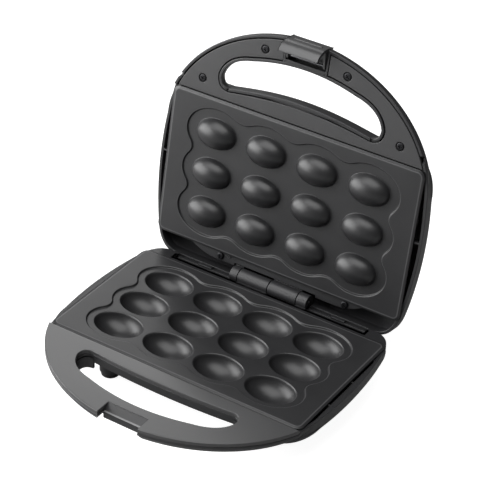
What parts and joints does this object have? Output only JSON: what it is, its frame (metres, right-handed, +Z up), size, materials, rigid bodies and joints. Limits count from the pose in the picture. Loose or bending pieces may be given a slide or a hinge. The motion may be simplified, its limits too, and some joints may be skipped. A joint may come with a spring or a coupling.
{
  "type": "electric nut cookie maker",
  "caption": "Countertop cooker standing open: nut-shaped moulds in the lower plate, matching domes in the hinged lid, two loop handles and a latch.",
  "frame": {"origin": "on the table, under the middle of the open cooker's bounding box", "axes": "+X to the right seen from the handles, +Y back towards the hinge, +Z up"},
  "size_m": [0.237, 0.2618, 0.2392],
  "materials": {
    "shell_black": "fine-grained black plastic",
    "cover_grey": "satin dark grey plastic",
    "non_stick": "satin black non-stick coat on cast aluminium",
    "element_steel": "dull heat-stained tube",
    "sheet_aluminium": "plain sheet",
    "screw_steel": "plain bright steel",
    "rubber": "matt black rubber",
    "ceramic": "white ceramic",
    "red_lens": "clear tinted plastic",
    "green_lens": "clear tinted plastic",
    "lamp_glass": "smooth glass bulb"
  },
  "bodies": {
    "base": {"lower_housing": "shell_black", "lower_handle_cover": "cover_grey", "lower_plate": "non_stick", "lower_heating_element": "element_steel", "lower_reflector": "sheet_aluminium", "thermostat": "sheet_aluminium", "thermal_fuse": "ceramic", "terminal_block": "ceramic", "cord_grommet": "rubber", "hinge_pin": "screw_steel", "foot_front_left": "rubber", "foot_front_right": "rubber", "foot_rear_left": "rubber", "foot_rear_right": "rubber", "lower_plate_screw_1": "screw_steel", "lower_plate_screw_2": "screw_steel", "lower_plate_screw_3": "screw_steel", "lower_plate_screw_4": "screw_steel", "lower_cover_screw_1": "screw_steel", "lower_cover_screw_2": "screw_steel", "lower_cover_screw_3": "screw_steel", "lower_cover_screw_4": "screw_steel"},
    "lid": {"lid_housing": "shell_black", "lid_handle_cover": "cover_grey", "upper_plate": "non_stick", "upper_heating_element": "element_steel", "upper_reflector": "sheet_aluminium", "hinge_strip": "shell_black", "latch_pin": "screw_steel", "power_lens": "red_lens", "ready_lens": "green_lens", "power_lamp": "lamp_glass", "ready_lamp": "lamp_glass", "upper_reflector_screw_1": "screw_steel", "upper_reflector_screw_2": "screw_steel", "upper_reflector_screw_3": "screw_steel", "upper_reflector_screw_4": "screw_steel", "upper_plate_screw_1": "screw_steel", "upper_plate_screw_2": "screw_steel", "lid_cover_screw_1": "screw_steel", "lid_cover_screw_2": "screw_steel", "lid_cover_screw_3": "screw_steel", "lid_cover_screw_4": "screw_steel", "strip_screw_1": "screw_steel", "strip_screw_2": "screw_steel"},
    "latch": {"latch": "cover_grey"}
  },
  "joints": [
    {"name": "lid_hinge", "type": "hinge", "parent": "base", "child": "lid", "pos_m": [0, 0.07223, 0.038], "axis": [1, 0, 0], "range_deg": [0, 100.2]},
    {"name": "latch_pivot", "type": "hinge", "parent": "lid", "child": "latch", "pos_m": [0, 0.1088, 0.22376], "axis": [1, 0, 0], "range_deg": [-8, 12]}
  ]
}
